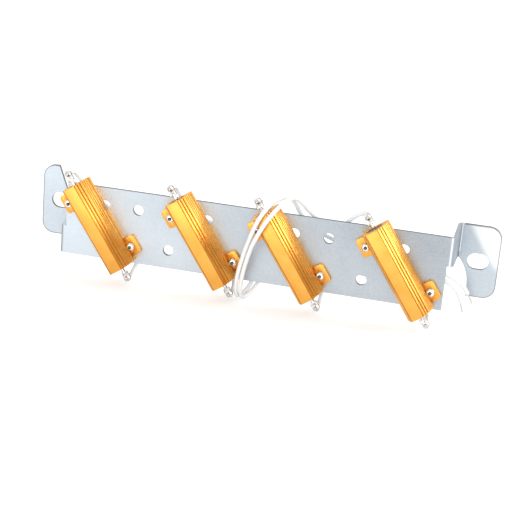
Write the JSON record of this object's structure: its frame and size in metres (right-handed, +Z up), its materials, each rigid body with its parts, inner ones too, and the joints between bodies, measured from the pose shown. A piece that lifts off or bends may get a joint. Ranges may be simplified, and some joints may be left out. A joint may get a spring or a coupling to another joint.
{
  "type": "power resistor bank",
  "caption": "Wirewound power resistors in finned gold aluminium housings, riveted aslant to a zinc-plated steel strip with a slotted ear at each end, wired with white leads",
  "frame": {"origin": "midway between the two ear slots, on the plane of the ears' back faces", "axes": "+X runs along the strip toward the ear whose neck is at the top, +Z is up across the strip, +Y goes into the wall that the ears are screwed to"},
  "size_m": [0.267, 0.0529, 0.0644],
  "materials": {
    "zinc_plated_steel": "bright zinc plating with a faint blue tint",
    "gold_anodised_aluminium": "extruded, orange-gold anodised, satin",
    "ceramic": "unglazed ceramic",
    "resistance_wire": "close-wound resistance wire",
    "moulding_compound": "moulded silicone filling",
    "seal_resin": "dark cast resin",
    "plated_cap": "pressed and plated",
    "tinned_terminal": "hot tinned",
    "rivet_aluminium": "bright drawn",
    "mandrel_steel": "broken steel stub",
    "solder": "dull solder",
    "tinned_copper": "twisted tinned strands",
    "white_insulation": "smooth white insulation"
  },
  "bodies": {
    "root": {"mounting_strip": "zinc_plated_steel", "housing_1": "gold_anodised_aluminium", "ceramic_core_1": "ceramic", "resistance_winding_1": "resistance_wire", "moulded_filling_1": "moulding_compound", "end_cap_upper_1": "plated_cap", "end_seal_upper_1": "seal_resin", "terminal_upper_1": "tinned_terminal", "end_cap_lower_1": "plated_cap", "end_seal_lower_1": "seal_resin", "terminal_lower_1": "tinned_terminal", "housing_2": "gold_anodised_aluminium", "ceramic_core_2": "ceramic", "resistance_winding_2": "resistance_wire", "moulded_filling_2": "moulding_compound", "end_cap_upper_2": "plated_cap", "end_seal_upper_2": "seal_resin", "terminal_upper_2": "tinned_terminal", "end_cap_lower_2": "plated_cap", "end_seal_lower_2": "seal_resin", "terminal_lower_2": "tinned_terminal", "housing_3": "gold_anodised_aluminium", "ceramic_core_3": "ceramic", "resistance_winding_3": "resistance_wire", "moulded_filling_3": "moulding_compound", "end_cap_upper_3": "plated_cap", "end_seal_upper_3": "seal_resin", "terminal_upper_3": "tinned_terminal", "end_cap_lower_3": "plated_cap", "end_seal_lower_3": "seal_resin", "terminal_lower_3": "tinned_terminal", "housing_4": "gold_anodised_aluminium", "ceramic_core_4": "ceramic", "resistance_winding_4": "resistance_wire", "moulded_filling_4": "moulding_compound", "end_cap_upper_4": "plated_cap", "end_seal_upper_4": "seal_resin", "terminal_upper_4": "tinned_terminal", "end_cap_lower_4": "plated_cap", "end_seal_lower_4": "seal_resin", "terminal_lower_4": "tinned_terminal", "rivets": "rivet_aluminium", "rivet_mandrels": "mandrel_steel", "solder_joints": "solder", "jumper_left": "white_insulation", "jumper_left_strands": "tinned_copper", "jumper_middle": "white_insulation", "jumper_middle_strands": "tinned_copper", "jumper_right": "white_insulation", "jumper_right_strands": "tinned_copper", "lead_left": "white_insulation", "lead_left_strands": "tinned_copper", "lead_right": "white_insulation", "lead_right_strands": "tinned_copper"}
  },
  "joints": []
}
